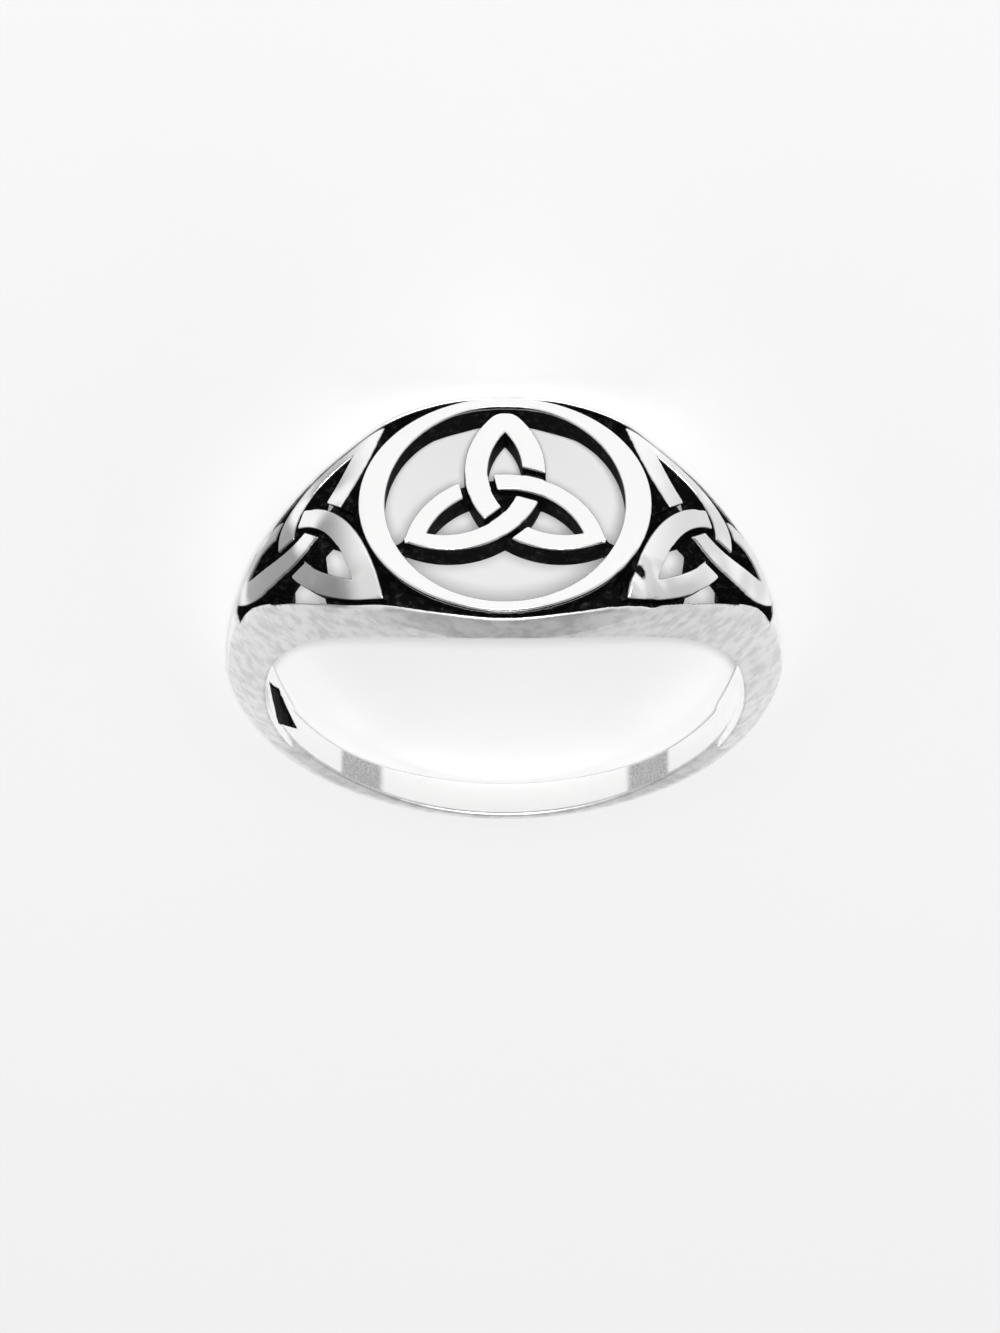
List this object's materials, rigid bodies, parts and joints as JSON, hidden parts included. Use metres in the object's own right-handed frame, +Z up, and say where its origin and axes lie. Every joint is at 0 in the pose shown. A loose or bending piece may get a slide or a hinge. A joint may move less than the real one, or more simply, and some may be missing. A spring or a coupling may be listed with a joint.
{
  "type": "celtic knot ring",
  "caption": "One-piece cast finger ring with a round pierced bezel holding a three-cornered knot, pierced knot shoulders and a narrow half-round shank.",
  "frame": {"origin": "on the floor under the middle of the ring, which lies on its side", "axes": "+Z up from the floor, +X across the finger hole, -Y toward the bezel"},
  "size_m": [0.0202, 0.02, 0.01],
  "materials": {
    "silver": "polished sterling silver with blackened recesses and satin side faces"
  },
  "bodies": {
    "root": {"knot_ring": "silver"}
  },
  "joints": []
}
